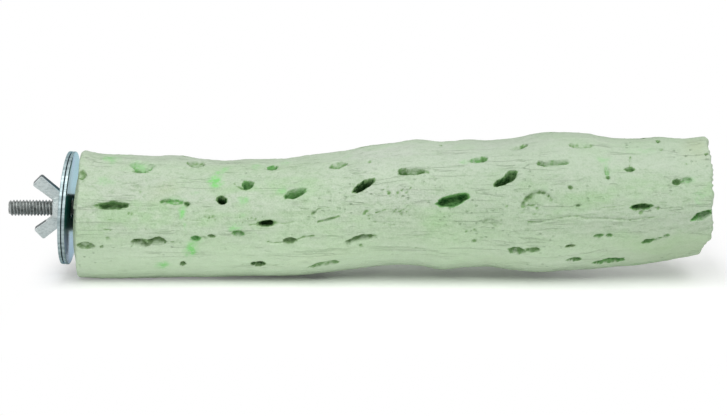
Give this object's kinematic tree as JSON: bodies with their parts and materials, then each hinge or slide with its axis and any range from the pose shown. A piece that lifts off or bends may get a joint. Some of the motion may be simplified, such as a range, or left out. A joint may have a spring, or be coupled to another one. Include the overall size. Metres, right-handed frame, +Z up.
{
  "type": "bird perch",
  "caption": "Straight natural-wood perch with a pale green mineral coating and a clamp stud, two wide washers and a wing nut at one end.",
  "frame": {"origin": "on the stud's axis, on the clamping plane midway between the two washers", "axes": "+X along the perch from the clamp to the free end, +Z up, -Y towards the viewer of the picture"},
  "size_m": [0.2746, 0.055, 0.0572],
  "materials": {
    "mineral_coat": "chalky pale green mineral coat with yellow-green stains",
    "cactus_wood": "dry bare wood",
    "plug_wood": "turned dowel, bare",
    "stud_steel": "zinc-plated rolled thread",
    "zinc_washer": "bright zinc plate",
    "cast_nut": "matt light grey casting"
  },
  "bodies": {
    "perch": {"mineral_coating": "mineral_coat", "cholla_stem": "cactus_wood", "end_plug": "plug_wood", "hanger_bolt": "stud_steel"},
    "inner_washer": {"inner_washer": "zinc_washer"},
    "outer_washer": {"outer_washer": "zinc_washer"},
    "wing_nut": {"wing_nut": "cast_nut"}
  },
  "joints": [
    {"name": "inner_washer_slide", "type": "slide", "parent": "perch", "child": "inner_washer", "axis": [1, 0, 0], "range_m": [0, 0.0028]},
    {"name": "outer_washer_slide", "type": "slide", "parent": "perch", "child": "outer_washer", "axis": [-1, 0, 0], "range_m": [0, 0.017]},
    {"name": "wing_nut_turn", "type": "hinge", "parent": "outer_washer", "child": "wing_nut", "pos_m": [0, 0, 0], "axis": [-1, 0, 0], "range_deg": [0, 4820]}
  ],
  "couplings": [
    {"joint": "wing_nut_turn", "follows": "outer_washer_slide", "rad_per_m": 4947.4}
  ]
}
